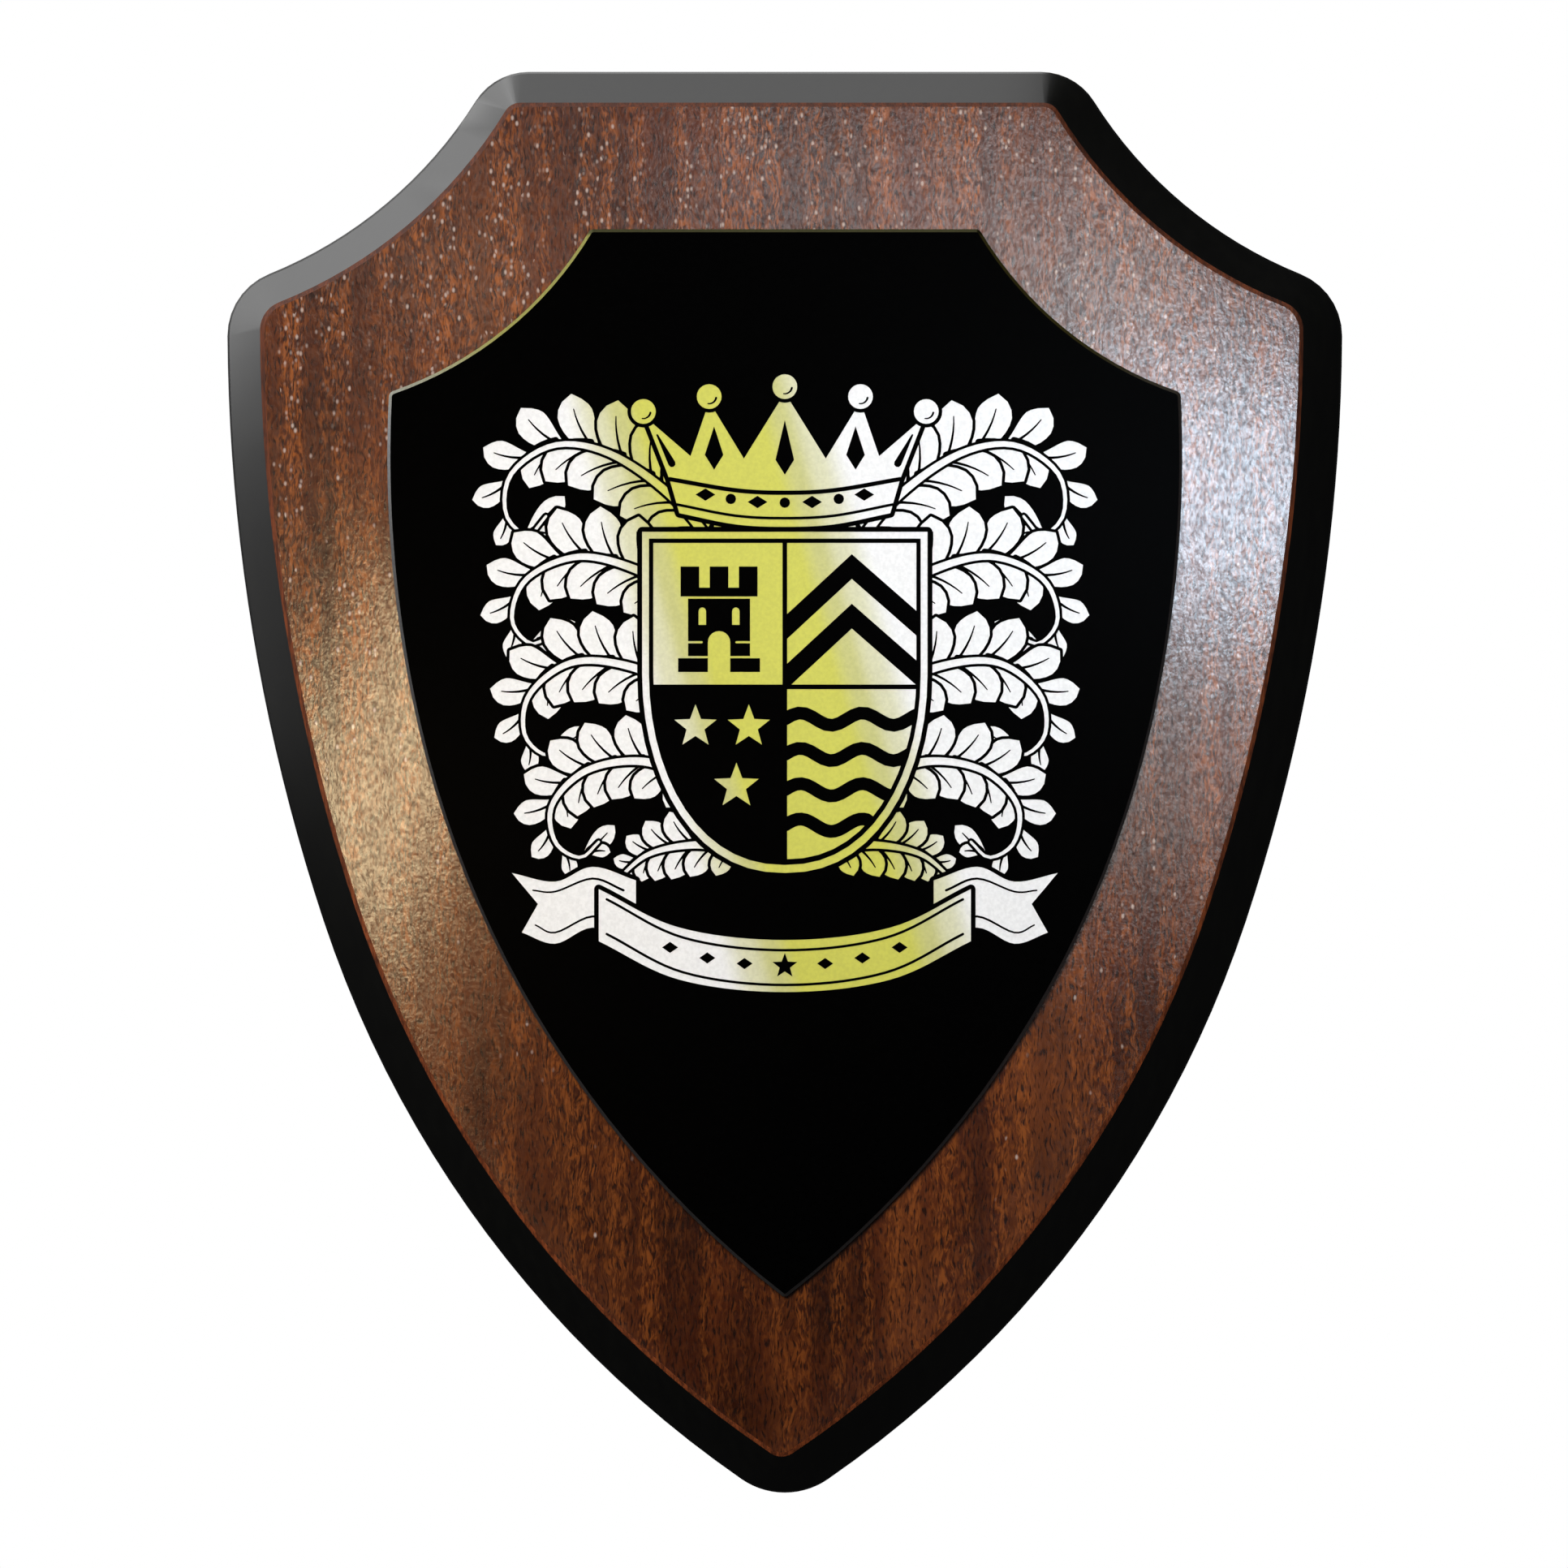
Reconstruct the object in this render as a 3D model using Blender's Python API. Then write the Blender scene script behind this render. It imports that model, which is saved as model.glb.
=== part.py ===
import math

import bmesh
import bpy
from mathutils import Vector

MM = 0.001

# Shield outlines, measured from the front. A drop is a distance below the board's top edge.
# The side is two arcs that run on from each other: the first is upright at side_drop.
BOARD_SHAPE = {
    "top_drop": 0.0,
    "scoop_centre": (110.1 * MM, -33.0 * MM),
    "scoop_radius": 70.9 * MM,
    "half_width": 90.3 * MM,
    "side_drop": 40.8 * MM,
    "side_radius": 308.1 * MM,
    "side_turn": math.radians(18.3),
    "lower_radius": 177.8 * MM,
}
PLATE_SHAPE = {
    "top_drop": 25.9 * MM,
    "scoop_centre": (82.8 * MM, -4.4 * MM),
    "scoop_radius": 59.7 * MM,
    "half_width": 64.1 * MM,
    "side_drop": 62.5 * MM,
    "side_radius": 193.5 * MM,
    "side_turn": math.radians(13.1),
    "lower_radius": 162.5 * MM,
}

# Corner radii in the order top corner, shoulder, point. The cutter leaves the face's corners sharper.
BOARD_RIM_CORNERS = (10.2 * MM, 10.8 * MM, 12.3 * MM)
BOARD_FACE_CORNERS = (2.4 * MM, 4.4 * MM, 2.6 * MM)
PLATE_CORNERS = (0.9 * MM, 1.1 * MM, 0.8 * MM)

BOARD_THICKNESS = 15.0 * MM
CHAMFER = 5.9 * MM
BACK_EASE = 0.6 * MM
RIM_EASE = 0.35 * MM
ARRIS_EASE = 0.35 * MM

PLATE_THICKNESS = 1.0 * MM
PLATE_BEVEL = 0.5 * MM
GLUE_GAP = 0.3 * MM

# The keyhole routed into the back. The origin is the middle of its slot's upper round end.
HANG_DROP = 38.0 * MM
KEYHOLE_TRAVEL = 13.0 * MM
KEYHOLE_LIP = 4.2 * MM
SLOT_WIDTH = 5.2 * MM
MOUTH_WIDTH = 10.4 * MM
MOUTH_DEPTH = 9.2 * MM
CHANNEL_WIDTH = 10.2 * MM
CHANNEL_DEPTH = 9.0 * MM
CUTTER_PROUD = 2.0 * MM

CORNER_STEPS = 7
SCOOP_STEPS = 16
SIDE_STEPS = 20
LOWER_STEPS = 22
KEYHOLE_STEPS = 12

MAHOGANY = (0.085, 0.030, 0.014, 1.0)
BLACK_COAT = (0.004, 0.004, 0.004, 1.0)


def clear_scene():
    for thing in list(bpy.data.objects):
        bpy.data.objects.remove(thing, do_unlink=True)


def material(name, colour, roughness, metallic):
    made = bpy.data.materials.new(name)
    made.use_nodes = True
    shader = made.node_tree.nodes["Principled BSDF"]
    shader.inputs["Base Color"].default_value = colour
    shader.inputs["Roughness"].default_value = roughness
    shader.inputs["Metallic"].default_value = metallic
    return made


def arc(centre, start, end, steps):
    """Points of the short arc about centre from start to end, both ends included."""
    first = math.atan2(start.y - centre.y, start.x - centre.x)
    last = math.atan2(end.y - centre.y, end.x - centre.x)
    turn = (last - first + math.pi) % math.tau - math.pi
    radius = (start - centre).length
    angles = [first + turn * i / steps for i in range(steps + 1)]
    return [centre + radius * Vector((math.cos(a), math.sin(a))) for a in angles]


def meet(centre_a, radius_a, centre_b, radius_b, pick):
    """The crossing of two circles that pick ranks highest."""
    gap = centre_b - centre_a
    along = (radius_a**2 - radius_b**2 + gap.length_squared) / (2 * gap.length)
    off = math.sqrt(radius_a**2 - along**2)
    ahead = gap.normalized()
    across = Vector((-ahead.y, ahead.x))
    return max((centre_a + along * ahead + s * off * across for s in (-1, 1)), key=pick)


def on_circle(centre, radius, point):
    return centre + radius * (point - centre).normalized()


def half_outline(shape, inset, corners):
    """The right half of an outline moved inwards by inset, as (x, drop) points from top middle to point."""
    top_round, shoulder_round, point_round = corners
    top = shape["top_drop"] + inset
    scoop = Vector(shape["scoop_centre"])
    scoop_radius = shape["scoop_radius"] + inset
    turn = Vector((math.cos(shape["side_turn"]), math.sin(shape["side_turn"])))
    side = Vector((shape["half_width"] - shape["side_radius"], shape["side_drop"]))
    side_radius = shape["side_radius"] - inset
    lower = side + turn * (shape["side_radius"] - shape["lower_radius"])
    lower_radius = shape["lower_radius"] - inset

    # A corner's centre lies where both of its neighbours, moved in by its radius, meet.
    deep = top + top_round
    reach = scoop_radius + top_round
    top_centre = Vector((scoop.x - math.sqrt(reach**2 - (deep - scoop.y) ** 2), deep))
    shoulder_centre = meet(
        scoop, scoop_radius + shoulder_round, side, side_radius - shoulder_round, lambda p: p.y
    )
    point_centre = Vector((0, lower.y + math.sqrt((lower_radius - point_round) ** 2 - lower.x**2)))

    top_end = Vector((top_centre.x, top))
    scoop_start = on_circle(scoop, scoop_radius, top_centre)
    scoop_end = on_circle(scoop, scoop_radius, shoulder_centre)
    side_start = on_circle(side, side_radius, shoulder_centre)
    side_end = side + turn * side_radius
    lower_end = on_circle(lower, lower_radius, point_centre)
    bottom = point_centre + Vector((0, point_round))
    return (
        [Vector((0, top))]
        + arc(top_centre, top_end, scoop_start, CORNER_STEPS)
        + arc(scoop, scoop_start, scoop_end, SCOOP_STEPS)[1:]
        + arc(shoulder_centre, scoop_end, side_start, CORNER_STEPS)[1:]
        + arc(side, side_start, side_end, SIDE_STEPS)[1:]
        + arc(lower, side_end, lower_end, LOWER_STEPS)[1:]
        + arc(point_centre, lower_end, bottom, CORNER_STEPS)[1:]
    )


def outline(shape, inset, corners):
    """The whole outline, clockwise as seen from the front."""
    right = half_outline(shape, inset, corners)
    left = [Vector((-p.x, p.y)) for p in reversed(right[1:-1])]
    return right + left


def loft(name, loops):
    """A closed solid through loops of (x, drop) points, each at its own depth in front of the wall."""
    work = bmesh.new()
    rings = []
    for depth, points in loops:
        rings.append([work.verts.new((p.x, -depth, HANG_DROP - p.y)) for p in points])
    for near, far in zip(rings, rings[1:]):
        for i in range(len(near)):
            j = (i + 1) % len(near)
            work.faces.new((near[i], near[j], far[j], far[i]))
    work.faces.new(reversed(rings[0]))
    work.faces.new(rings[-1])
    bmesh.ops.recalc_face_normals(work, faces=work.faces)
    mesh = bpy.data.meshes.new(name)
    work.to_mesh(mesh)
    work.free()
    made = bpy.data.objects.new(name, mesh)
    bpy.context.scene.collection.objects.link(made)
    return made


def smooth(thing, angle):
    thing.data.shade_smooth()
    thing.data.set_sharp_from_angle(angle=angle)


def keyhole_cutter(name, shape, near, far):
    """A closed cutter of one upright outline, reaching into the back from depth near to depth far."""
    work = bmesh.new()
    ring = [work.verts.new((x, -near, z)) for x, z in shape]
    face = work.faces.new(ring)
    pushed = bmesh.ops.extrude_face_region(work, geom=[face])
    moved = [v for v in pushed["geom"] if isinstance(v, bmesh.types.BMVert)]
    bmesh.ops.translate(work, verts=moved, vec=(0, near - far, 0))
    bmesh.ops.recalc_face_normals(work, faces=work.faces)
    mesh = bpy.data.meshes.new(name)
    work.to_mesh(mesh)
    work.free()
    cutter = bpy.data.objects.new(name, mesh)
    bpy.context.scene.collection.objects.link(cutter)
    cutter.hide_render = True
    cutter.display_type = "WIRE"
    return cutter


def round_ended(upper_radius, lower_radius):
    """An upright slot's outline: a half circle about the origin, straight sides, and an arc below."""
    entry = -KEYHOLE_TRAVEL
    spread = math.asin(upper_radius / lower_radius)
    above = [math.pi * i / KEYHOLE_STEPS for i in range(KEYHOLE_STEPS + 1)]
    start = math.pi / 2 + spread
    sweep = math.tau - 2 * spread
    below = [start + sweep * i / (2 * KEYHOLE_STEPS) for i in range(2 * KEYHOLE_STEPS + 1)]
    upper = [(upper_radius * math.cos(a), upper_radius * math.sin(a)) for a in above]
    lower = [(lower_radius * math.cos(a), entry + lower_radius * math.sin(a)) for a in below]
    return upper + lower


def cut(thing, cutter):
    step = thing.modifiers.new(cutter.name, "BOOLEAN")
    step.operation = "DIFFERENCE"
    step.solver = "EXACT"
    step.object = cutter


def board():
    """Solid wood, chamfered all round the front, with a keyhole routed into the back."""
    chamfer_out = BOARD_THICKNESS - CHAMFER

    def ring(inset, depth):
        share = inset / CHAMFER
        corners = [
            rim + (face - rim) * min(share, 1)
            for rim, face in zip(BOARD_RIM_CORNERS, BOARD_FACE_CORNERS)
        ]
        return depth, outline(BOARD_SHAPE, inset, corners)

    made = loft(
        "shield_board",
        [
            ring(BACK_EASE, 0.0),
            ring(0.0, BACK_EASE),
            ring(0.0, chamfer_out - RIM_EASE),
            ring(RIM_EASE, chamfer_out + RIM_EASE),
            ring(CHAMFER - ARRIS_EASE, BOARD_THICKNESS - ARRIS_EASE),
            ring(CHAMFER + ARRIS_EASE, BOARD_THICKNESS),
        ],
    )
    made.data.materials.append(material("stained_mahogany", MAHOGANY, 0.4, 0.0))
    smooth(made, math.radians(20))
    mouth = round_ended(SLOT_WIDTH / 2, MOUTH_WIDTH / 2)
    channel = round_ended(CHANNEL_WIDTH / 2, CHANNEL_WIDTH / 2)
    cut(made, keyhole_cutter("keyhole_mouth", mouth, -CUTTER_PROUD, MOUTH_DEPTH))
    cut(made, keyhole_cutter("keyhole_channel", channel, KEYHOLE_LIP, CHANNEL_DEPTH))
    return made


def plate():
    """Thin metal plate on the board's face, bevelled all round its front edge."""
    back = BOARD_THICKNESS + GLUE_GAP
    front = back + PLATE_THICKNESS
    sharper = [r - PLATE_BEVEL for r in PLATE_CORNERS]
    made = loft(
        "face_plate",
        [
            (back, outline(PLATE_SHAPE, 0.0, PLATE_CORNERS)),
            (front - PLATE_BEVEL, outline(PLATE_SHAPE, 0.0, PLATE_CORNERS)),
            (front, outline(PLATE_SHAPE, PLATE_BEVEL, sharper)),
        ],
    )
    made.data.materials.append(material("black_coated_metal", BLACK_COAT, 0.25, 0.0))
    smooth(made, math.radians(20))
    return made


clear_scene()
board()
plate()
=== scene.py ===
import math

import bpy
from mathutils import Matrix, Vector
from mathutils.geometry import delaunay_2d_cdt


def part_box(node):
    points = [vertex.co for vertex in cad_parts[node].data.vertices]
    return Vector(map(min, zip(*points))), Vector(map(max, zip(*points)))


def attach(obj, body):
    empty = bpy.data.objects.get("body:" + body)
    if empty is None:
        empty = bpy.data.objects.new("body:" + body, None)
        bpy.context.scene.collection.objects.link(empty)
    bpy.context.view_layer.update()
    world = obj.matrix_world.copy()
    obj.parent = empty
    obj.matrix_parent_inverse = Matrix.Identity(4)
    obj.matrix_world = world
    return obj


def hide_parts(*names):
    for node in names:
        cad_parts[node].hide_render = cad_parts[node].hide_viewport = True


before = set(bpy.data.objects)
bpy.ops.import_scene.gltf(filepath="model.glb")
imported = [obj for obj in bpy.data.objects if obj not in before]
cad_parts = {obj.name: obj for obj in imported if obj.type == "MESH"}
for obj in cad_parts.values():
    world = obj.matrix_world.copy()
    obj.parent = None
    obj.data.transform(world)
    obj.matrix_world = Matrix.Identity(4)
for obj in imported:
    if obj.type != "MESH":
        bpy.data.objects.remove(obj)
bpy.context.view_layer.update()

mm = 0.001


# Helpers for picking faces and for shader nodes

def deselectAll():
    if bpy.context.object and bpy.context.object.mode != "OBJECT":
        bpy.ops.object.mode_set(mode="OBJECT")
    bpy.ops.object.select_all(action="DESELECT")


def makeActive(piece):
    deselectAll()
    piece.select_set(True)
    bpy.context.view_layer.objects.active = piece


# A CAD node is loose triangles, so its copy is welded and its flat faces joined

def mergedCopy(node, name):
    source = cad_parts[node]
    piece = bpy.data.objects.new(name, source.data.copy())
    bpy.context.scene.collection.objects.link(piece)
    piece.data.materials.clear()
    makeActive(piece)
    bpy.ops.object.mode_set(mode="EDIT")
    bpy.ops.mesh.select_all(action="SELECT")
    bpy.ops.mesh.remove_doubles(threshold=0.001 * mm)
    bpy.ops.mesh.dissolve_limited(angle_limit=math.radians(0.5))
    bpy.ops.mesh.select_all(action="DESELECT")
    bpy.ops.object.mode_set(mode="OBJECT")
    return piece


def selectFaces(piece, wanted):
    for vert in piece.data.vertices:
        vert.select = False
    for edge in piece.data.edges:
        edge.select = False
    for face in piece.data.polygons:
        face.select = wanted(face)


def newMaterial(name):
    made = bpy.data.materials.new(name)
    made.use_nodes = True
    shader = made.node_tree.nodes["Principled BSDF"]
    return made, made.node_tree, shader


def addNode(tree, kind, links=None, **settings):
    node = tree.nodes.new(kind)
    for key, value in settings.items():
        if hasattr(node, key):
            setattr(node, key, value)
        else:
            node.inputs[key.replace("_", " ")].default_value = value
    for socket, source in (links or {}).items():
        tree.links.new(source, node.inputs[socket])
    return node


def objectCoords(tree, scale):
    place = addNode(tree, "ShaderNodeTexCoord")
    mapping = addNode(tree, "ShaderNodeMapping", {"Vector": place.outputs["Object"]}, Scale=scale)
    return mapping.outputs["Vector"]


def noiseFactor(tree, source, pitch, detail, distortion=0.0):
    noise = addNode(tree, "ShaderNodeTexNoise", {"Vector": source}, Scale=1 / pitch, Detail=detail,
                    Distortion=distortion)
    return noise.outputs["Fac"]


def addBump(tree, height, strength, depth, target):
    bump = addNode(tree, "ShaderNodeBump", {"Height": height}, Strength=strength, Distance=depth)
    tree.links.new(bump.outputs["Normal"], target)


def ramp(tree, source, stops, blend="EASE"):
    node = addNode(tree, "ShaderNodeValToRGB", {"Fac": source})
    node.color_ramp.interpolation = blend
    marks = node.color_ramp.elements
    while len(marks) < len(stops):
        marks.new(0.5)
    for mark, (spot, colour) in zip(marks, stops):
        mark.position = spot
        mark.color = (*colour, 1) if isinstance(colour, tuple) else (colour, colour, colour, 1)
    return node.outputs["Color"]


def mixColours(tree, share, first, second, mode="MIX"):
    node = addNode(tree, "ShaderNodeMix", data_type="RGBA", blend_type=mode)
    for socket, value in ((0, share), (6, first), (7, second)):
        if isinstance(value, bpy.types.NodeSocket):
            tree.links.new(value, node.inputs[socket])
        elif isinstance(value, tuple):
            node.inputs[socket].default_value = (*value, 1)
        else:
            node.inputs[socket].default_value = value
    return node.outputs[2]


def multiplied(tree, tone, factor):
    return mixColours(tree, 1.0, tone, factor, "MULTIPLY")


def mathNode(tree, operation, first, second):
    node = addNode(tree, "ShaderNodeMath", operation=operation)
    for index, value in enumerate((first, second)):
        if isinstance(value, bpy.types.NodeSocket):
            tree.links.new(value, node.inputs[index])
        else:
            node.inputs[index].default_value = value
    return node.outputs[0]


def acrossBand(tree, direction, low, high):
    place = addNode(tree, "ShaderNodeTexCoord")
    dotted = addNode(tree, "ShaderNodeVectorMath", {0: place.outputs["Object"]}, operation="DOT_PRODUCT")
    dotted.inputs[1].default_value = direction
    links = {"Value": dotted.outputs["Value"]}
    spread = addNode(tree, "ShaderNodeMapRange", links, From_Min=low, From_Max=high)
    return spread.outputs["Result"]


# Mahogany face under lacquer

mahogany = dict(
    dark=(0.037, 0.0061, 0.0009),
    middle=(0.066, 0.0122, 0.0020),
    light=(0.111, 0.0268, 0.0056),
    fleck=(0.375, 0.098, 0.0140),
    pore=(0.010, 0.0020, 0.0006),
    # Colour of the painted glints, pale specks that stand in for lamp glints in the lacquer
    glintSpeck=(0.56, 0.42, 0.35),
    # Each noise: width and length of a mark, detail, offset from the other noises, distortion
    noises=dict(
        bands=(10 * mm, 190 * mm, 4, 0.0, 0.3),
        clouds=(16 * mm, 24 * mm, 2, 7.3, 0.0),
        patches=(3.6 * mm, 70 * mm, 2, 11.7, 0.0),
        broadFlecks=(0.60 * mm, 2.3 * mm, 2, 3.1, 0.6),
        fineFlecks=(0.40 * mm, 1.4 * mm, 2, 19.3, 0.5),
        pores=(0.34 * mm, 1.8 * mm, 1, 5.9, 0.2),
        clumps=(6 * mm, 18 * mm, 2, 23.9, 0.0),
        pebbles=(0.55 * mm, 0.75 * mm, 1, 41.3, 0.0),
        mottle=(0.45 * mm, 0.9 * mm, 2, 31.7, 0.0),
    ),
    # Where each noise starts and ends to show, and how strongly
    stops=dict(
        clouds=[(0.32, 0.70), (0.68, 1.25)],
        patches=[(0.36, 0.16), (0.64, 1.0)],
        broadFlecks=[(0.43, 0.0), (0.69, 0.85)],
        fineFlecks=[(0.45, 0.0), (0.71, 0.80)],
        pores=[(0.52, 0.0), (0.69, 0.90)],
        clumps=[(0.40, 0.20), (0.62, 1.0)],
    ),
    waver=1.1 * mm, waverPitch=3.6 * mm,
    # Between the low and high levels the wood gets painted shade below and painted light above
    lowLevel=-185 * mm, highLevel=30 * mm, lowPaintedShade=0.86, highPaintedLight=1.05, lowFlecks=0.60, fullFlecks=0.7,
    speckPitch=0.85 * mm, speckSize=0.42, speckShare=2.0, speckRise=2.5,
    speckTones=[(0.0, 0.12), (0.6, 0.40), (1.0, 0.95)],
    speckRelief=0.4, pebbleRelief=1.1, coatRelief=0.02 * mm, grainStrength=0.4, grainRelief=0.04 * mm,
    roughness=0.5, specular=0.03, coatLow=0.38, coatHigh=1.0, coatRoughness=0.19,
)


def mahoganyMaterial():
    look = mahogany
    made, tree, shader = newMaterial("lacquered mahogany")

    # Streaks waver sideways as they run up the board
    waver = noiseFactor(tree, objectCoords(tree, (1, 1, 0.55)), look["waverPitch"], 2)
    shift = mathNode(tree, "MULTIPLY", mathNode(tree, "SUBTRACT", waver, 0.5), look["waver"] * 2)
    sideways = addNode(tree, "ShaderNodeCombineXYZ", {"X": shift})
    place = addNode(tree, "ShaderNodeTexCoord")
    links = {0: place.outputs["Object"], 1: sideways.outputs["Vector"]}
    wavy = addNode(tree, "ShaderNodeVectorMath", links, operation="ADD")

    def grain(name):
        width, length, detail, offset, distortion = look["noises"][name]
        mapping = addNode(tree, "ShaderNodeMapping", {"Vector": wavy.outputs["Vector"]})
        mapping.inputs["Scale"].default_value = (1 / width, 1 / width, 1 / length)
        mapping.inputs["Location"].default_value = (offset, offset * 0.37, offset * 0.61)
        return noiseFactor(tree, mapping.outputs["Vector"], 1.0, detail, distortion)

    def marks(name):
        return ramp(tree, grain(name), look["stops"][name])

    woodTones = [(0.34, look["dark"]), (0.50, look["middle"]), (0.68, look["light"])]
    ground = ramp(tree, grain("bands"), woodTones)
    ground = multiplied(tree, ground, marks("clouds"))

    # Short orange flecks crowd into upright patches, fewer of them low down
    patches = marks("patches")
    broad = marks("broadFlecks")
    fine = marks("fineFlecks")
    height = acrossBand(tree, (0, 0, 1), look["lowLevel"], look["highLevel"])
    strength = ramp(tree, height, [(0.0, look["lowFlecks"]), (look["fullFlecks"], 1.0)], "LINEAR")
    fleckShare = mathNode(tree, "MULTIPLY", mathNode(tree, "MAXIMUM", broad, fine), patches)
    fleckShare = mathNode(tree, "MULTIPLY", fleckShare, strength)
    ground = mixColours(tree, fleckShare, ground, look["fleck"])
    pores = marks("pores")
    ground = mixColours(tree, pores, ground, look["pore"])
    # Painted shade and light: the wood is darker towards the bottom and a little lighter at the top,
    # standing in for the key light falling off down the board
    shade = ramp(tree, height, [(0.0, look["lowPaintedShade"]), (1.0, look["highPaintedLight"])], "LINEAR")
    ground = multiplied(tree, ground, shade)

    # Painted glints: pale specks in the base colour stand in for lamp glints in the lacquer, fewer low
    # down, each cell with a brightness of its own
    cells = objectCoords(tree, (1, 0.0, 0.62))
    specks = addNode(tree, "ShaderNodeTexVoronoi", {"Vector": cells}, Scale=1 / look["speckPitch"])
    domeStops = [(look["speckSize"] * 0.2, 1.0), (look["speckSize"], 0.0)]
    dome = ramp(tree, specks.outputs["Distance"], domeStops)
    picked = addNode(tree, "ShaderNodeSeparateColor", {"Color": specks.outputs["Color"]})
    crowd = mathNode(tree, "MULTIPLY", marks("clumps"), patches)
    crowd = mathNode(tree, "MULTIPLY", mathNode(tree, "POWER", height, look["speckRise"]), crowd)
    crowd = mathNode(tree, "MULTIPLY", crowd, look["speckShare"])
    glintSpeck = mathNode(tree, "MULTIPLY", dome, mathNode(tree, "LESS_THAN", picked.outputs[0], crowd))
    brightness = ramp(tree, picked.outputs[1], look["speckTones"], "LINEAR")
    speckShare = mathNode(tree, "MULTIPLY", glintSpeck, brightness)
    tree.links.new(mixColours(tree, speckShare, ground, look["glintSpeck"]), shader.inputs["Base Color"])

    # Fine pebbling in the lacquer over the wood's own grain
    pebbles = mathNode(tree, "MULTIPLY", grain("pebbles"), look["pebbleRelief"])
    relief = mathNode(tree, "ADD", mathNode(tree, "MULTIPLY", glintSpeck, look["speckRelief"]), pebbles)
    addBump(tree, relief, 1.0, look["coatRelief"], shader.inputs["Coat Normal"])
    woodRelief = mathNode(tree, "SUBTRACT", broad, pores)
    addBump(tree, woodRelief, look["grainStrength"], look["grainRelief"], shader.inputs["Normal"])
    thickness = ramp(tree, grain("mottle"), [(0.34, look["coatLow"]), (0.66, look["coatHigh"])], "LINEAR")
    tree.links.new(thickness, shader.inputs["Coat Weight"])
    shader.inputs["Roughness"].default_value = look["roughness"]
    shader.inputs["Specular IOR Level"].default_value = look["specular"]
    shader.inputs["Coat Roughness"].default_value = look["coatRoughness"]
    return made


# Black lacquer on the bevel and sides, stain on the arris and the back

blackLacquer = dict(
    dark=(0.0010, 0.0010, 0.0008), light=(0.0022, 0.0022, 0.0017),
    pitch=1.6 * mm, relief=0.02 * mm, roughness=0.30, specular=0.5,
)
stain = dict(
    relief=0.06 * mm, specular=0.2,
    lowLevel=-120 * mm, highLevel=20 * mm,        # between these levels the stain changes to its high share
    arris=dict(
        dark=(0.100, 0.021, 0.004), light=(0.260, 0.058, 0.013),
        pitch=0.9 * mm, roughness=0.6, high=0.4,
    ),
    back=dict(
        dark=(0.018, 0.007, 0.004), light=(0.055, 0.022, 0.012),
        pitch=2.2 * mm, roughness=0.75, high=1.0,
    ),
)


def lacquerMaterial():
    look = blackLacquer
    made, tree, shader = newMaterial("black edge lacquer")
    noise = noiseFactor(tree, objectCoords(tree, (1, 1, 0.25)), look["pitch"], 3)
    addBump(tree, noise, 0.25, look["relief"], shader.inputs["Normal"])
    tone = ramp(tree, noise, [(0.3, look["dark"]), (0.8, look["light"])])
    tree.links.new(tone, shader.inputs["Base Color"])
    shader.inputs["Roughness"].default_value = look["roughness"]
    shader.inputs["Specular IOR Level"].default_value = look["specular"]
    return made


def stainMaterial(name):
    look = stain[name]
    made, tree, shader = newMaterial(name + " stain")
    noise = noiseFactor(tree, objectCoords(tree, (1, 1, 0.06)), look["pitch"], 5, 0.4)
    tone = ramp(tree, noise, [(0.32, look["dark"]), (0.68, look["light"])])
    fine = noiseFactor(tree, objectCoords(tree, (1, 1, 0.10)), look["pitch"] / 4, 2)
    tone = multiplied(tree, tone, ramp(tree, fine, [(0.46, 1.1), (0.62, 0.55)]))
    height = acrossBand(tree, (0, 0, 1), stain["lowLevel"], stain["highLevel"])
    tone = multiplied(tree, tone, ramp(tree, height, [(0.0, 1.0), (1.0, look["high"])], "LINEAR"))
    tree.links.new(tone, shader.inputs["Base Color"])
    addBump(tree, noise, 0.5, stain["relief"], shader.inputs["Normal"])
    shader.inputs["Roughness"].default_value = look["roughness"]
    shader.inputs["Specular IOR Level"].default_value = stain["specular"]
    return made


# The wooden board

board = dict(
    node="shield_board", smoothAngle=20, arrisDepth=0.6 * mm,
    faceScale=(0.9935, 1.0, 0.9940), faceMiddle=(0, 0, -60.0 * mm), faceShift=(-0.5 * mm, 0, 0.7 * mm),
    keyholeDrop=6 * mm, keyholeReach=16 * mm,        # a circle round the keyhole, for the stain inside it
)


def makeBoard():
    piece = mergedCopy(board["node"], "woodenBoard")
    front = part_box(board["node"])[0].y

    def nearFront(face):
        return face.normal.y < -0.8 and face.center.y < front + board["arrisDepth"]

    # The bevel is wider at the right and at the point, so the flat face sits a little up and to the left
    selectFaces(piece, nearFront)
    bpy.ops.object.mode_set(mode="EDIT")
    bpy.ops.transform.resize(value=board["faceScale"], center_override=board["faceMiddle"])
    bpy.ops.transform.translate(value=board["faceShift"])
    bpy.ops.object.mode_set(mode="OBJECT")
    for material in (lacquerMaterial(), mahoganyMaterial(), stainMaterial("arris"), stainMaterial("back")):
        piece.data.materials.append(material)
    for face in piece.data.polygons:
        fromKeyhole = Vector((face.center.x, face.center.z + board["keyholeDrop"])).length
        if face.normal.y < -0.99:
            face.material_index = 1
        elif nearFront(face):
            face.material_index = 2
        elif face.normal.y > 0.99 or fromKeyhole < board["keyholeReach"]:
            face.material_index = 3
    makeActive(piece)
    bpy.ops.object.shade_smooth_by_angle(angle=math.radians(board["smoothAngle"]))
    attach(piece, "root")
    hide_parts(board["node"])
    print("board made:", len(piece.data.polygons), "faces")


# Engraved arms, in millimetres about the design's middle
# The sheet holds their outlines in painting order, each in bare metal or in black coat

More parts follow.
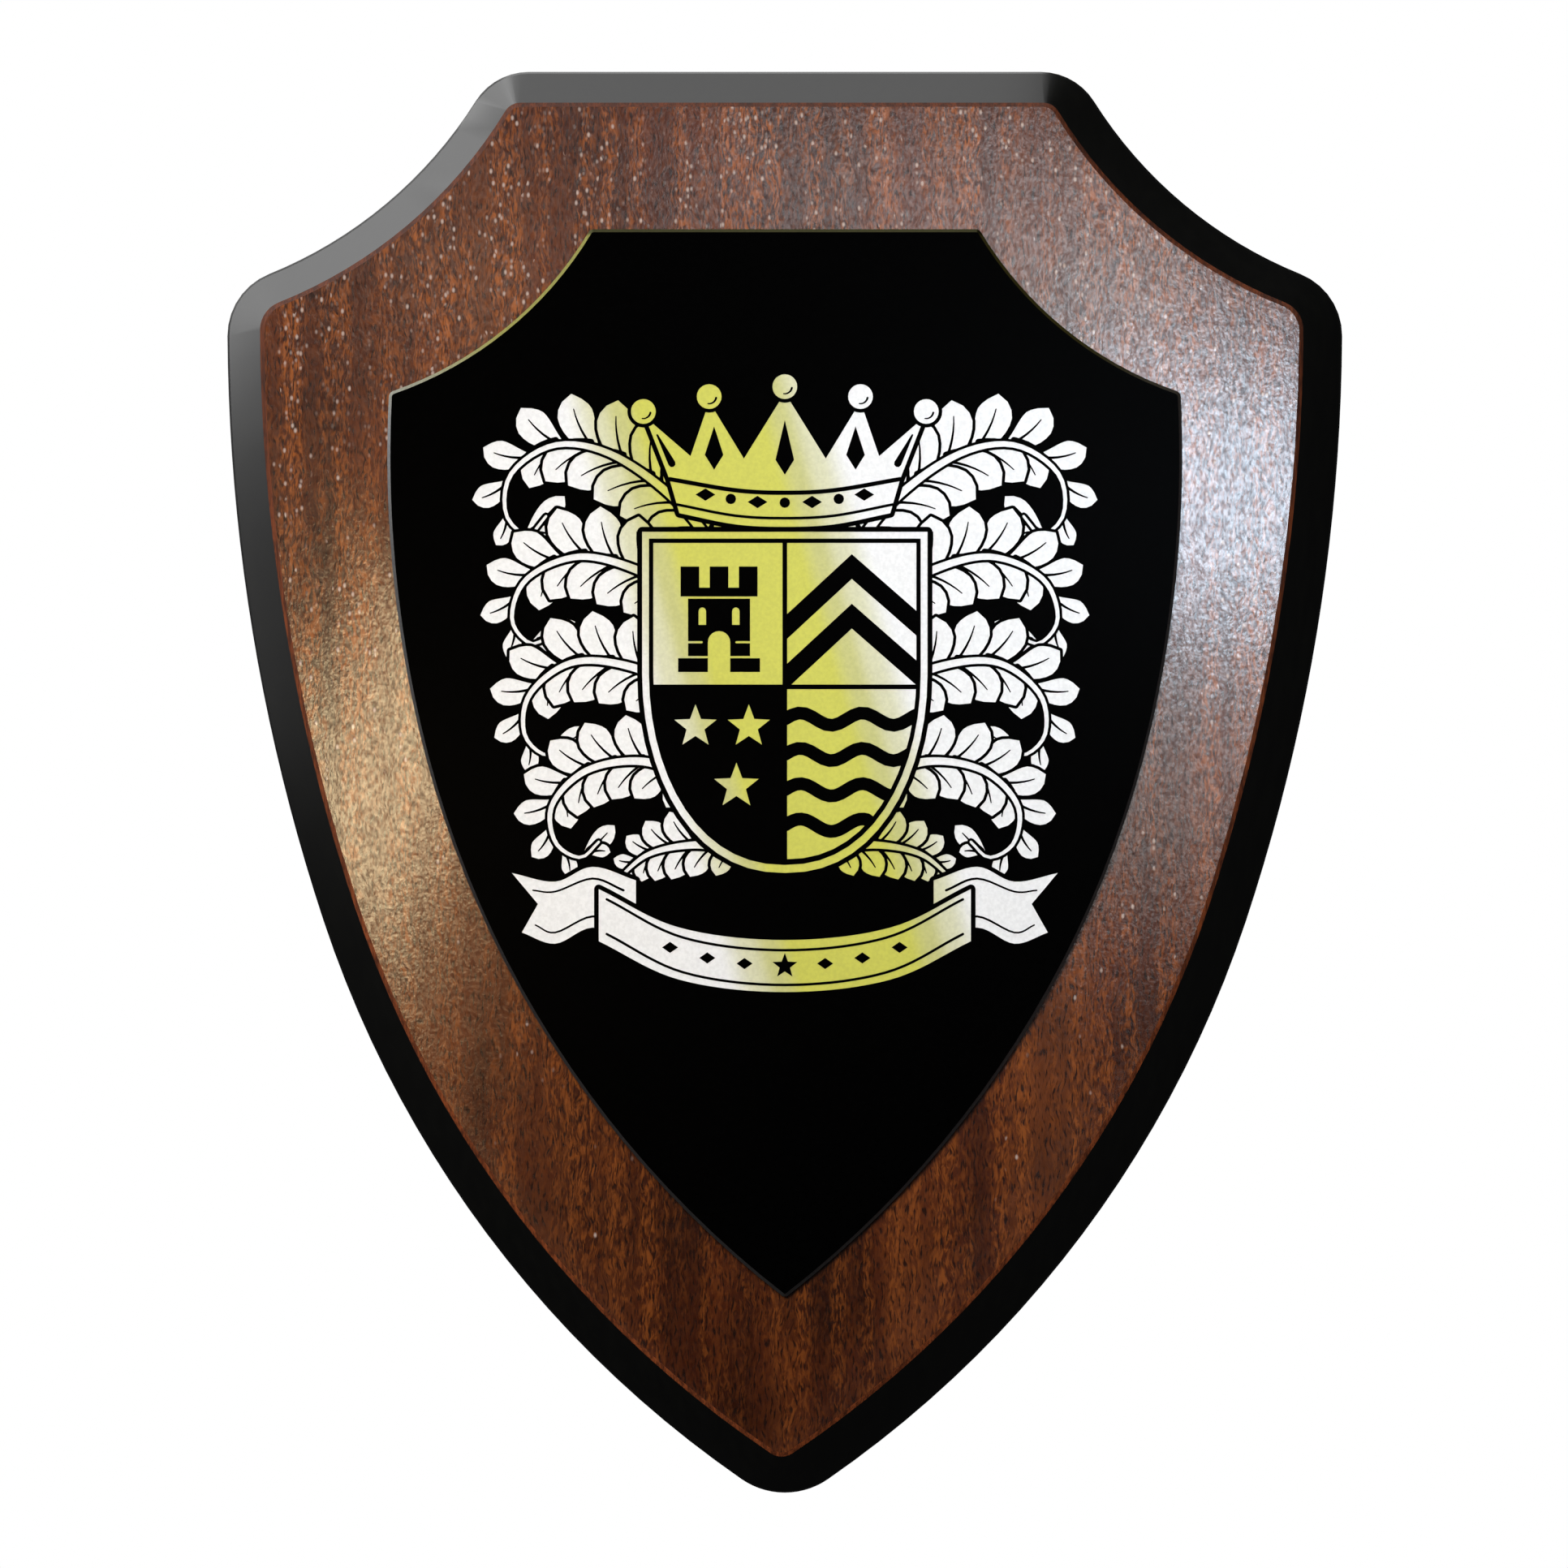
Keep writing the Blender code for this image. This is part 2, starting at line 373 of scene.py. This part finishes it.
arms = dict(
    centre=-60.7, gap=0.5, veinWidth=0.5, leafStem=1.5, leafPlump=0.62,
    # Each leaf spray: stem, reach of its leaves, leaves to a side
    leaves=[
        ([(10, 20), (18, 29.5), (28, 36.5), (37, 38), (44, 33.5), (45, 27), (41.5, 23.5), (38.5, 26.5)],
         10.5, 11),
        ([(14, 12), (23, 17.5), (33, 20), (41.5, 16.5), (44, 10), (41, 6), (37.5, 7.5)], 10.0, 10),
        ([(14, -3), (24, 2), (34, 3), (41, -2), (42, -8.5), (38.5, -12), (35, -10)], 9.6, 10),
        ([(14, -16), (23, -13), (32, -14.5), (37.5, -20), (37, -26), (33, -28.5), (30, -26)], 8.8, 10),
        ([(8, -27), (15, -26.5), (22, -28), (27, -32)], 7.0, 7),
    ],
    # Outer rim, inner rim and field of the shield: half width, top, drop
    shield=[(23.0, 24.0, 55.0), (21.9, 22.9, 52.6), (21.2, 22.2, 51.0)],
    pearls=[(0, 47.4), (12.2, 45.8), (22.8, 43.4)],
    sampleCell=4.0,
)
sheet = []


def spline(points, steps):
    spots = [Vector(p) for p in points]
    spots = [spots[0] * 2 - spots[1]] + spots + [spots[-1] * 2 - spots[-2]]
    curve = []
    for a, b, c, d in zip(spots, spots[1:], spots[2:], spots[3:]):
        for k in range(steps):
            t = k / steps
            curve.append(b + (c - a) * (t / 2) + (a * 2 - b * 5 + c * 4 - d) * (t * t / 2)
                         + (b * 3 - a - c * 3 + d) * (t * t * t / 2))
    return curve + [spots[-2]]


def turned(arm, degrees):
    a = math.radians(degrees)
    return Vector((arm.x * math.cos(a) - arm.y * math.sin(a), arm.x * math.sin(a) + arm.y * math.cos(a)))


def mirrored(points):
    return [Vector((-p[0], p[1])) for p in points]


def arcPoints(centre, radius, first, last, steps):
    arm = Vector((radius, 0))
    return [Vector(centre) + turned(arm, first + (last - first) * i / steps) for i in range(steps + 1)]


def loopArea(outline):
    return sum(a.x * b.y - b.x * a.y for a, b in zip(outline, outline[1:] + outline[:1])) / 2


def clearance(spot, pairs):
    near = 1e9
    for a, b in pairs:
        edge = b - a
        share = min(1, max(0, (spot - a).dot(edge) / edge.length_squared))
        near = min(near, (spot - a - edge * share).length)
    return near


# An outline moved outwards by the gap, its corners rounded in steps of about 24 degrees

def grown(outline, gap):
    if loopArea(outline) < 0:
        outline = outline[::-1]
    outline = [p for p, q in zip(outline, outline[1:] + outline[:1]) if (q - p).length > 1e-4]
    pairs = list(zip(outline, outline[1:] + outline[:1]))
    moved = []
    for (before, here), (_, after) in zip(pairs[-1:] + pairs[:-1], pairs):
        first = (here - before).normalized()
        second = (after - here).normalized()
        start = Vector((first.y, -first.x))
        turn = math.degrees(math.atan2(first.x * second.y - first.y * second.x, first.dot(second)))
        parts = max(1, round(turn / 24)) if turn > 2 else 1
        moved += [here + turned(start, turn * k / parts) * gap for k in range(parts + 1)]
    return [spot for spot in moved if clearance(spot, pairs) > gap * 0.98]


def fill(outline, bare=True):
    sheet.append(([Vector(p) for p in outline], bare))


def shape(outline, gap=0.6):
    outline = [Vector(p) for p in outline]
    fill(grown(outline, gap), False)
    fill(outline)


def stroke(points, start, end=None, bare=False):
    end = start if end is None else end
    spots = [Vector(p) for p in points]
    last = len(spots) - 1
    left, right = [], []
    for i, spot in enumerate(spots):
        ahead = (spots[min(i + 1, last)] - spots[max(i - 1, 0)]).normalized()
        side = Vector((-ahead.y, ahead.x)) * ((start + (end - start) * i / last) / 2)
        left.append(spot + side)
        right.append(spot - side)
    tip = [spots[-1] + turned(left[-1] - spots[-1], -45 * k) for k in (1, 2, 3)]
    tail = [spots[0] + turned(right[0] - spots[0], -45 * k) for k in (1, 2, 3)]
    fill(left + tip + right[::-1] + tail, bare)


# A function that gives the spot at any share of a curve's length

def walkAlong(curve):
    runs = [0.0]
    for a, b in zip(curve, curve[1:]):
        runs.append(runs[-1] + (b - a).length)

    def at(t):
        want = min(max(t, 0), 1) * runs[-1]
        k = max(i for i in range(len(curve) - 1) if runs[i] <= want + 1e-9)
        return curve[k] + (curve[k + 1] - curve[k]) * ((want - runs[k]) / (runs[k + 1] - runs[k]))

    return at


def bowed(base, middle, tip, t):
    return base * (1 - t) ** 2 + middle * 2 * t * (1 - t) + tip * t * t


# A blade with a fine vein, widest at fullAt of its length

def petal(base, tip, width, bend=0.0, fullAt=0.62, rows=9):
    run = tip - base
    middle = (base + tip) / 2 + Vector((-run.y, run.x)) * bend
    left, right = [], []
    for i in range(rows):
        t = i / rows
        spot = bowed(base, middle, tip, t)
        ahead = ((middle - base) * (1 - t) + (tip - middle) * t).normalized()
        if t < fullAt:
            wide = 0.34 + 0.66 * math.sin(math.pi / 2 * t / fullAt)
        else:
            wide = math.cos(math.pi / 2 * (t - fullAt) / (1 - fullAt)) ** 0.72
        side = Vector((-ahead.y, ahead.x)) * wide * width / 2
        left.append(spot + side)
        right.append(spot - side)
    shape(left + [tip] + right[::-1], arms["gap"])
    vein = [bowed(base, middle, tip, t) for t in (0.05, 0.2, 0.35, 0.5, 0.62, 0.74)]
    stroke(vein, arms["veinWidth"], 0.18)


# A curved stem with blades at both sides, the inner ones left out past innerLast, drawn from the tip down

def leaf(spine, reach, count, flip, innerLast):
    at = walkAlong([Vector((p.x * flip, p.y)) for p in spline(spine, 10)])
    ahead = (at(1.0) - at(0.93)).normalized()
    petal(at(0.93), at(1.0) + ahead * reach * 0.42, reach * 0.36)
    for i in reversed(range(count)):
        t = i / (count - 1) * 0.94
        ahead = (at(t + 0.02) - at(t - 0.02)).normalized()
        size = reach * (0.62 + 0.38 * math.sin(math.pi * min(1, t + 0.12))) * (1 - 0.42 * t * t)
        for side in (1, -1):
            if side > 0 or t <= innerLast:
                lean = turned(ahead, side * flip * (62 - 22 * t))
                start = at(t) + ahead * 0.2
                petal(start, start + lean * size, size * arms["leafPlump"], -0.16 * side * flip)
    spots = [at(i / 40) for i in range(41)]
    stroke(spots, arms["leafStem"] + 0.9, 1.3)
    stroke(spots, arms["leafStem"], 0.4, True)


def drawLeaves():
    for spine, reach, count in arms["leaves"]:
        for flip in (1, -1):
            leaf(spine, reach, count, flip, 0.60 if len(spine) > 4 else 0.94)


# A shield outline with straight sides above and a pointed foot

def heater(half, top, drop, steps=14):
    low = top - drop * 0.42
    turns = [math.pi / 2 * i / steps for i in range(1, steps)]
    right = [Vector((half, top)), Vector((half, low))]
    right += [Vector((half * math.cos(a) ** 0.9, low - drop * 0.58 * math.sin(a))) for a in turns]
    return right + [Vector((0, top - drop))] + mirrored(right)[::-1]


def ring(outer, inner, bare=True):
    fill(outer + outer[:1] + inner[:1] + inner[::-1], bare)


def block(left, low, right, high):
    fill([(left, low), (right, low), (right, high), (left, high)], False)


def dot(middle, radius):
    fill(arcPoints(middle, radius, 0, 330, 11), False)


def diamond(x, y, half, tall):
    fill([(x - half, y), (x, y - tall), (x + half, y), (x, y + tall)], False)


def star(middle, reach, bare=True, depth=0.42):
    arm = Vector((0, reach))
    fill([Vector(middle) + turned(arm, 36 * i) * (depth if i % 2 else 1) for i in range(10)], bare)


def drawShield():
    outer, inner, field = (heater(*sizes) for sizes in arms["shield"])
    shape(outer, 0.8)

    # A tower
    block(-17.2, 1.4, -4.0, 3.8)
    block(-15.6, 3.8, -5.6, 13.4)
    block(-16.8, 13.4, -4.4, 15.0)
    for left in (-16.8, -12.1, -7.4):
        block(left, 15.0, left + 3.0, 18.4)
    fill([(-12.4, 1.4), (-8.8, 1.4)] + arcPoints((-10.6, 6.2), 1.8, 0, 180, 10))
    for x in (-13.3, -7.9):
        fill([(x - 0.6, 9.0), (x + 0.6, 9.0)] + arcPoints((x, 11.2), 0.6, 0, 180, 6))
    for level, left, right in ((3.8, -17.2, -4.0), (13.4, -16.8, -4.4)):
        stroke([(left, level), (right, level)], 0.35, bare=True)
    for left, right in ((-15.6, -13.4), (-7.8, -5.6)):
        stroke([(left, 6.2), (right, 6.2)], 0.35, bare=True)

    # Two chevrons
    for top in (16.4, 8.4):
        fill([(0, top - 10.0), (10.8, top), (22.2, top - 10.0), (22.2, top - 6.0), (10.8, top + 4.0),
              (0, top - 6.0)], False)

    # Three stars on black
    fill([(-22.2, -1.0), (0, -1.0), (0, -30), (-9, -28), (-18, -20), (-22.2, -8)], False)
    star((-14.4, -7.4), 3.6)
    star((-5.8, -7.4), 3.6)
    star((-7.8, -17.0), 3.8)

    # Wavy bars
    for level, reach in ((-6.2, 22.0), (-11.9, 20.6), (-17.6, 18.0), (-23.3, 13.4)):
        xs = [reach * i / 20 for i in range(21)]
        stroke([(x, level + math.sin(x / 20 * math.tau * 2)) for x in xs], 2.1)

    stroke([(0, 23), (0, -29.5)], 0.75)
    stroke([(-22, -1.0), (22, -1.0)], 0.75)
    ring(inner, field, False)
    ring(outer, inner)


def crownCurve(lift):
    half = 17 + 1.6 * lift / 5.5
    marks = [(-half, 27), (-8, 25.2), (0, 24.8), (8, 25.2), (half, 27)]
    return spline([(x, y + lift) for x, y in marks], 6)


def drawCrown():
    spikes = [(18.6, 32.5), (22.5, 42.5), (15.2, 36.2), (12.2, 45.0), (6.6, 35.8), (0, 46.4)]
    shape(crownCurve(0) + spikes + mirrored(spikes[:-1])[::-1], 0.75)
    stroke(crownCurve(5.5), 0.7)
    stroke(crownCurve(1.4), 0.45)
    for x, y in ((12.8, 30.0), (4.4, 28.8)):
        diamond(x, y, 1.6, 1.0)
        diamond(-x, y, 1.6, 1.0)
    for x, y in ((-8.7, 29.3), (0, 28.7), (8.7, 29.3)):
        dot((x, y), 0.85)
    for x, low, high in ((-11.4, 34.0, 41.0), (0, 33.2, 42.0), (11.4, 34.0, 41.0)):
        fill([(x - 1.5, low + 2.4), (x, low), (x + 1.5, low + 2.4), (x, high)], False)
    for x in (-18.2, 18.2):
        stroke([(x, 35.0), (x * 1.13, 39.6)], 1.2, 0.3)
    for x, y in arms["pearls"]:
        for side in (1, -1) if x else (1,):
            shape(arcPoints((side * x, y), 2.0, 0, 345, 23))
            stroke(arcPoints((side * x, y), 1.15, -10, -100, 6), 0.35, 0.2)


def drawRibbon():
    for flip in (list, mirrored):
        upper = spline([(-24, -32.2), (-31, -30.0), (-37, -32.4), (-44.0, -31.0)], 7)
        lower = spline([(-42.4, -40.6), (-37, -42.4), (-31, -39.8), (-24, -42)], 7)
        shape(flip(upper + [Vector((-39.8, -36.0))] + lower), 0.7)
        stroke(flip(spline([(-26, -33.8), (-31, -31.9), (-37, -34.0), (-40.6, -33.8)], 6)), 0.4, 0.25)
        stroke(flip(spline([(-26, -40.0), (-31, -38.0), (-37, -40.6), (-40.2, -39.4)], 6)), 0.4, 0.25)
    low = [(-30, -42.0), (-17, -48.2), (0, -50.2), (17, -48.2), (30, -42.0)]
    high = [(x, y + 8.4) for x, y in reversed(low)]
    shape(spline(low, 9) + spline(high, 9), 0.75)
    for lift in (1.4, 7.0):
        stroke(spline([(x * 0.957, y + lift - 0.25) for x, y in low], 9), 0.42)
    star((0, -46.0), 2.1, False)
    for x, y in ((6.5, -45.6), (12.5, -44.7), (18.5, -43.0)):
        diamond(x, y, 1.3, 0.9)
        diamond(-x, y, 1.3, 0.9)


def encloses(outline, spot):
    turns = 0
    for a, b in zip(outline, outline[1:] + outline[:1]):
        if (a.y <= spot.y) != (b.y <= spot.y):
            left = (b.x - a.x) * (spot.y - a.y) - (spot.x - a.x) * (b.y - a.y)
            if b.y > a.y and left > 0:
                turns += 1
            elif b.y <= a.y and left < 0:
                turns -= 1
    return turns != 0


# The topmost outline over a spot says whether coat or metal shows there

def sheetSampler():
    cell = arms["sampleCell"]
    cells = {}
    for outline, bare in sheet:
        xs = [p.x for p in outline]
        ys = [p.y for p in outline]
        for i in range(math.floor(min(xs) / cell), math.floor(max(xs) / cell) + 1):
            for j in range(math.floor(min(ys) / cell), math.floor(max(ys) / cell) + 1):
                cells.setdefault((i, j), []).insert(0, (outline, bare))

    def coated(spot):
        for outline, bare in cells.get((math.floor(spot.x / cell), math.floor(spot.y / cell)), []):
            if encloses(outline, spot):
                return not bare
        return True

    return coated


# Flat triangles of black coat inside the border, with an edge only where coat and metal meet

def coatTriangles(border):
    coated = sheetSampler()
    spots, edges = [], []
    for outline in [border] + [outline for outline, bare in sheet]:
        first = len(spots)
        spots += outline
        edges += [(first + i, first + (i + 1) % len(outline)) for i in range(len(outline))]
    for _ in range(2):
        spots, _, triangles = delaunay_2d_cdt(spots, edges, [], 1, 1e-4, False)[:3]
        kept = []
        owners = {}
        for triangle in triangles:
            centre = sum((spots[v] for v in triangle), Vector((0, 0))) / len(triangle)
            black = encloses(border, centre) and coated(centre)
            if black:
                kept.append(triangle)
            for a, b in zip(triangle, triangle[1:] + triangle[:1]):
                owners.setdefault((min(a, b), max(a, b)), []).append(black)
        edges = [pair for pair, sides in owners.items() if sum(sides) == 1]
    return spots, kept


# Where the coat touches itself in a single point, each side gets a point of its own

def splitPinches(spots, triangles):
    around = {}
    for index, triangle in enumerate(triangles):
        for v in triangle:
            around.setdefault(v, []).append(index)
    spots = list(spots)
    triangles = [list(triangle) for triangle in triangles]
    for v, touching in around.items():
        left = set(touching)
        fans = []
        while left:
            fan = [left.pop()]
            for here in fan:
                joined = [i for i in left if len(set(triangles[i]) & set(triangles[here]) - {v})]
                fan += joined
                left -= set(joined)
            fans.append(fan)
        for fan in fans[1:]:
            spots.append(spots[v].copy())
            for index in fan:
                triangles[index][triangles[index].index(v)] = len(spots) - 1
    return spots, triangles


# The metal plate and its black coat, which the arms are cut through

plate = dict(
    node="face_plate", smoothAngle=20,
    silverReflection=(0.76, 0.76, 0.76), paleGold=(0.58, 0.575, 0.37),
    dullGold=(0.47, 0.465, 0.15), gold=(0.50, 0.495, 0.04),
    bandMiddle=-1.5 * mm, bandHalf=14 * mm, bandSoft=8 * mm, bandLean=0.284,
    pitch=0.5 * mm, dim=0.90, relief=0.01 * mm, roughness=0.50, metallic=0.15,
    edgeGreyReflection=(0.150, 0.151, 0.152), edgeGold=(0.132, 0.125, 0.032), edgeDullShade=(0.032, 0.031, 0.010),
    edgeLow=-20 * mm, edgeHigh=12 * mm,
    edgePitch=0.4 * mm, edgeDim=0.8, edgeRoughness=0.35, edgeMetallic=0.9,
)
coat = dict(
    depth=0.045 * mm, sink=0.010 * mm, colour=(0.0006, 0.0006, 0.0006),
    pitch=0.8 * mm, dim=0.6, relief=0.01 * mm, roughness=0.3, specular=0.003,
)


def fineNoise(tree, pitch):
    return noiseFactor(tree, objectCoords(tree, (1, 1, 1)), pitch, 3)


def dimmed(tree, tone, noise, dim):
    return multiplied(tree, tone, ramp(tree, noise, [(0.3, dim), (0.7, 1.0)]))


# Painted reflection: silver either side of a leaning gold band stands in for bright light mirrored in the
# gold metal

def metalMaterial():
    look = plate
    made, tree, shader = newMaterial("bare metal")
    middle = look["bandMiddle"] + look["bandLean"] * arms["centre"] * mm
    reach = look["bandHalf"] + look["bandSoft"]
    across = acrossBand(tree, (1, 0, look["bandLean"]), middle - reach, middle + reach)
    soft = look["bandSoft"] / (2 * reach) * 1.6
    stops = [(0.0, look["silverReflection"]), (soft * 0.4, look["paleGold"])]
    stops += [(soft * 0.7, look["dullGold"]), (soft, look["gold"])]
    tone = ramp(tree, across, stops + [(1 - spot, colour) for spot, colour in reversed(stops)])
    noise = fineNoise(tree, look["pitch"])
    tree.links.new(dimmed(tree, tone, noise, look["dim"]), shader.inputs["Base Color"])
    addBump(tree, noise, 0.2, look["relief"], shader.inputs["Normal"])
    shader.inputs["Roughness"].default_value = look["roughness"]
    shader.inputs["Metallic"].default_value = look["metallic"]
    return made


# The bevelled edge shines more. Its colour by height is painted reflection and painted shade: grey below,
# gold round the scoops and dull along the top

def edgeMaterial():
    look = plate
    made, tree, shader = newMaterial("plate edge metal")
    height = acrossBand(tree, (0, 0, 1), look["edgeLow"], look["edgeHigh"])
    stops = [(0.0, look["edgeGreyReflection"]), (0.5, look["edgeGold"])]
    stops += [(0.962, look["edgeGold"]), (0.988, look["edgeDullShade"])]
    tone = dimmed(tree, ramp(tree, height, stops), fineNoise(tree, look["edgePitch"]), look["edgeDim"])
    tree.links.new(tone, shader.inputs["Base Color"])
    shader.inputs["Roughness"].default_value = look["edgeRoughness"]
    shader.inputs["Metallic"].default_value = look["edgeMetallic"]
    return made


def coatMaterial():
    look = coat
    made, tree, shader = newMaterial("black plate coat")
    noise = fineNoise(tree, look["pitch"])
    tree.links.new(dimmed(tree, look["colour"], noise, look["dim"]), shader.inputs["Base Color"])
    addBump(tree, noise, 0.1, look["relief"], shader.inputs["Normal"])
    shader.inputs["Roughness"].default_value = look["roughness"]
    shader.inputs["Specular IOR Level"].default_value = look["specular"]
    return made


def makePlate():
    piece = mergedCopy(plate["node"], "metalPlate")
    piece.data.materials.append(metalMaterial())
    piece.data.materials.append(edgeMaterial())
    for face in piece.data.polygons:
        face.material_index = 0 if face.normal.y < -0.99 else 1
    front = max((f for f in piece.data.polygons if f.normal.y < -0.99), key=lambda f: f.area)
    border = [piece.data.vertices[v].co.copy() for v in front.vertices]

    # The flat metal drops by the coat's depth, so the coat's top takes its place
    makeActive(piece)
    selectFaces(piece, lambda face: face.material_index == 0)
    bpy.ops.object.mode_set(mode="EDIT")
    bpy.ops.transform.translate(value=(0, coat["depth"], 0))
    bpy.ops.object.mode_set(mode="OBJECT")
    bpy.ops.object.shade_smooth_by_angle(angle=math.radians(plate["smoothAngle"]))
    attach(piece, "root")
    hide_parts(plate["node"])
    print("plate made:", len(piece.data.polygons), "faces")
    return border


def makeCoat(border):
    drawLeaves()
    drawShield()
    drawCrown()
    drawRibbon()
    print("arms drawn:", len(sheet), "outlines")
    rim = [Vector((p.x / mm, p.z / mm - arms["centre"])) for p in border]
    spots, triangles = splitPinches(*coatTriangles(rim))
    print("coat cut:", len(triangles), "triangles")
    bottom = border[0].y + coat["depth"] + coat["sink"]
    mesh = bpy.data.meshes.new("blackCoat")
    mesh.from_pydata([(p.x * mm, bottom, (p.y + arms["centre"]) * mm) for p in spots], [], triangles)
    piece = bpy.data.objects.new("blackCoat", mesh)
    bpy.context.scene.collection.objects.link(piece)
    piece.data.materials.append(coatMaterial())
    makeActive(piece)
    bpy.ops.object.mode_set(mode="EDIT")
    bpy.ops.mesh.select_all(action="SELECT")
    bpy.ops.mesh.delete_loose()
    bpy.ops.mesh.select_mode(type="FACE")
    bpy.ops.mesh.select_all(action="SELECT")
    bpy.ops.mesh.extrude_region_move(TRANSFORM_OT_translate={"value": (0, border[0].y - bottom, 0)})
    bpy.ops.mesh.select_all(action="SELECT")
    bpy.ops.mesh.normals_make_consistent(inside=False)
    bpy.ops.mesh.select_all(action="DESELECT")
    bpy.ops.object.mode_set(mode="OBJECT")
    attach(piece, "root")
    print("coat made:", len(piece.data.polygons), "faces")


# Camera, floor and lights

white = (1.0, 1.0, 1.0)
studio = dict(
    lens=220, sensor=36, frameHeight=253.8 * mm, middle=(-0.13 * mm, -10 * mm, -77.36 * mm),
    floorDrop=1.0, floorSize=8.0, floorColour=(0.85, 0.85, 0.85, 1), floorRoughness=0.9,
    floorGlow=(0.9, 0.9, 0.9, 1), floorGlowStrength=0.7, worldLight=(0.03, 0.03, 0.03),
    # Name, the rays that see it, place, target (straight ahead if none), width and height, radiance, colour
    # Lamps in one plane hide each other in the lacquer, so rightScoopHaze stands a little nearer
    lamps=[
        ("keySoftbox", "all", (-0.60, -1.60, 0.90), (0, 0, -0.07), (1.2, 1.2), 9.3, white),
        ("edgePanel", "gloss", (-0.2475, -0.01, 0.1225), (-0.11, -0.01, -0.015), (0.30, 0.375), 3.7, white),
        ("topPanel", "gloss", (-0.0105, -0.01, 0.085), (-0.0105, -0.01, 0.0), (0.115, 0.12), 1.78, white),
        ("sidePanel", "gloss", (-0.30, -0.01, -0.06), (-0.10, -0.01, -0.06), (0.30, 0.12), 0.45, white),
        ("rightSheen", "gloss", (0.086, -0.30, -0.023), None, (0.06, 0.040), 42.0, (0.70, 0.84, 1.0)),
        ("rightHaze", "gloss", (0.075, -0.30, -0.040), None, (0.09, 0.118), 4.4, (1.0, 0.94, 0.90)),
        ("leftScoopHaze", "gloss", (-0.061, -0.30, 0.018), None, (0.03, 0.03), 4.0, (1.0, 0.66, 0.46)),
        ("rightScoopHaze", "gloss", (0.061, -0.29, 0.017), None, (0.034, 0.026), 5.7, (0.82, 0.95, 1.0)),
        ("topHaze", "gloss", (0.030, -0.30, 0.034), None, (0.100, 0.03), 5.6, (0.97, 0.97, 1.0)),
        ("leftGlow", "gloss", (-0.078, -0.30, -0.082), None, (0.035, 0.045), 31.5, (1.0, 0.79, 0.46)),
        ("leftHaze", "gloss", (-0.070, -0.30, -0.087), None, (0.06, 0.107), 2.7, (1.0, 0.52, 0.20)),
        ("backSoftbox", "matt", (0.60, 1.50, 0.80), (0, 0, -0.07), (1.4, 1.4), 7.0, white),
        ("sparkleLamp", "gloss", (-0.45, -0.85, 0.50), (0, 0, -0.05), (0.40, 0.40), 8.0, white),
    ],
)


def addLamp(name, rays, place, target, size, radiance, colour):
    lamp = bpy.data.lights.new(name, "AREA")
    lamp.shape = "RECTANGLE"
    lamp.size, lamp.size_y = size
    lamp.energy = radiance * math.pi * size[0] * size[1]
    lamp.color = colour
    holder = bpy.data.objects.new(name, lamp)
    bpy.context.scene.collection.objects.link(holder)
    holder.location = place
    target = target or (place[0], 0, place[2])
    holder.rotation_euler = (Vector(target) - Vector(place)).to_track_quat("-Z", "Y").to_euler()
    holder.visible_camera = False
    holder.visible_diffuse = rays != "gloss"
    holder.visible_glossy = rays != "matt"


def makeStudio():
    scene = bpy.context.scene
    view = bpy.data.cameras.new("camera")
    view.lens, view.sensor_width = studio["lens"], studio["sensor"]
    camera = bpy.data.objects.new("camera", view)
    scene.collection.objects.link(camera)
    middle = Vector(studio["middle"])
    distance = studio["frameHeight"] * studio["lens"] / studio["sensor"]
    camera.location = middle + Vector((0, -distance, 0))
    camera.rotation_euler = (math.radians(90), 0, 0)
    scene.camera = camera
    deselectAll()
    bpy.ops.mesh.primitive_plane_add(size=studio["floorSize"], location=(0, 0, -studio["floorDrop"]))
    floor = bpy.context.object
    floor.name = "floor"
    bpy.ops.object.transform_apply(location=True, rotation=False, scale=False)
    made, tree, shader = newMaterial("pale floor")
    shader.inputs["Base Color"].default_value = studio["floorColour"]
    shader.inputs["Roughness"].default_value = studio["floorRoughness"]
    shader.inputs["Emission Color"].default_value = studio["floorGlow"]
    shader.inputs["Emission Strength"].default_value = studio["floorGlowStrength"]
    floor.data.materials.append(made)
    floor.visible_glossy = False        # lights nothing, so the part keeps its own light
    floor.visible_diffuse = False

    world = bpy.data.worlds.new("studio")
    scene.world = world
    world.use_nodes = True
    tree = world.node_tree
    path = addNode(tree, "ShaderNodeLightPath")
    shade = mixColours(tree, path.outputs["Is Camera Ray"], studio["worldLight"], white)
    tree.links.new(shade, tree.nodes["Background"].inputs["Color"])
    scene.view_settings.view_transform = "Standard"

    for lamp in studio["lamps"]:
        addLamp(*lamp)
    print("studio made")


makeBoard()
makeCoat(makePlate())
makeStudio()
